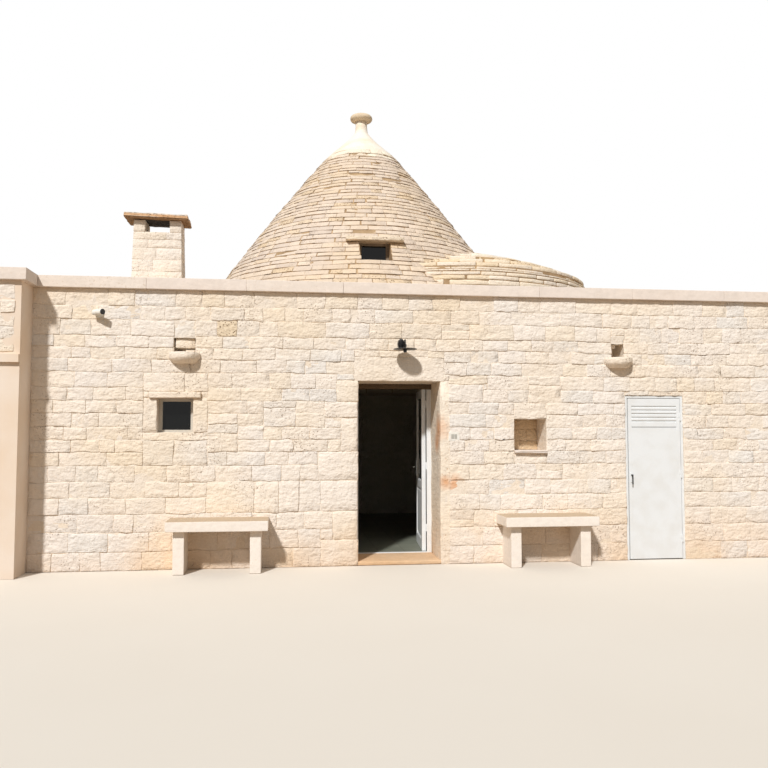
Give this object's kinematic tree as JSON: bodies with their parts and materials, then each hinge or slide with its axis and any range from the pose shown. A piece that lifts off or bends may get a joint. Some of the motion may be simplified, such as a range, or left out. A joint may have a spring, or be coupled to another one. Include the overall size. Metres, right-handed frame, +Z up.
{
  "type": "trullo house",
  "caption": "Limestone trullo house with a corbelled stone cone, a low side dome, a flat roof behind a parapet, a chimney, stone benches and a hinged front door.",
  "frame": {"origin": "on the ground under the main cone's tip, on the underside of the floor slab", "axes": "+X right along the front wall, +Y from the front to the back, +Z up"},
  "size_m": [10.51, 6.63, 6.521],
  "materials": {
    "limestone_masonry": "squared limestone rubble with a rough dressed face",
    "limestone_slabs": "thin rough limestone slabs laid dry",
    "pale_stone": "sawn pale limestone, matt",
    "cream_plaster": "smooth lime plaster, matt",
    "whitewash": "limewashed mortar, matt",
    "red_stone": "reddish rough stone slab",
    "floor_tile": "matt grey-green stoneware tile",
    "white_aluminium": "white powder coat, satin",
    "clear_glass": "clear glass",
    "satin_steel": "satin steel",
    "black_metal": "black paint, satin",
    "white_plastic": "ivory plastic, satin"
  },
  "bodies": {
    "root": {"floor": "floor_tile", "threshold": "limestone_masonry", "front_wall_left": "limestone_masonry", "front_wall_over_door": "limestone_masonry", "front_wall_middle": "limestone_masonry", "closet_wall": "limestone_masonry", "front_wall_right": "limestone_masonry", "right_wall": "limestone_masonry", "back_wall": "limestone_masonry", "left_wall": "cream_plaster", "wing_front_wall": "cream_plaster", "roof_ends": "pale_stone", "roof_strips": "pale_stone", "coping_front": "pale_stone", "coping_wing": "pale_stone", "coping_back": "pale_stone", "coping_sides": "pale_stone", "door_lintel": "limestone_masonry", "door_frame": "white_aluminium", "closet_frame": "white_aluminium", "window_lintels": "limestone_masonry", "window_frames": "white_aluminium", "window_glass": "clear_glass", "niche_sill": "limestone_masonry", "spouts": "limestone_masonry", "bench_slabs": "pale_stone", "bench_legs": "pale_stone", "cone_front": "limestone_slabs", "cone_right": "limestone_slabs", "cone_back": "limestone_slabs", "cone_left": "limestone_slabs", "cone_cap": "whitewash", "pinnacle": "pale_stone", "side_dome_front": "limestone_slabs", "side_dome_back": "limestone_slabs", "chimney_stack": "limestone_masonry", "chimney_cap": "red_stone", "door_lamp": "black_metal", "wall_camera": "white_plastic", "switch_plate": "white_plastic"},
    "front_door": {"door_leaf": "white_aluminium", "door_glass": "clear_glass", "door_handle": "satin_steel"},
    "closet_door": {"closet_leaf": "white_aluminium", "closet_handle": "black_metal"}
  },
  "joints": [
    {"name": "front_door_hinge", "type": "hinge", "parent": "root", "child": "front_door", "pos_m": [0.5925, -2.387, 0], "axis": [0, 0, 1], "range_deg": [-15, 95]},
    {"name": "closet_door_hinge", "type": "hinge", "parent": "root", "child": "closet_door", "pos_m": [3.6105, -3.053, 0], "axis": [0, 0, 1], "range_deg": [0, 110]}
  ]
}
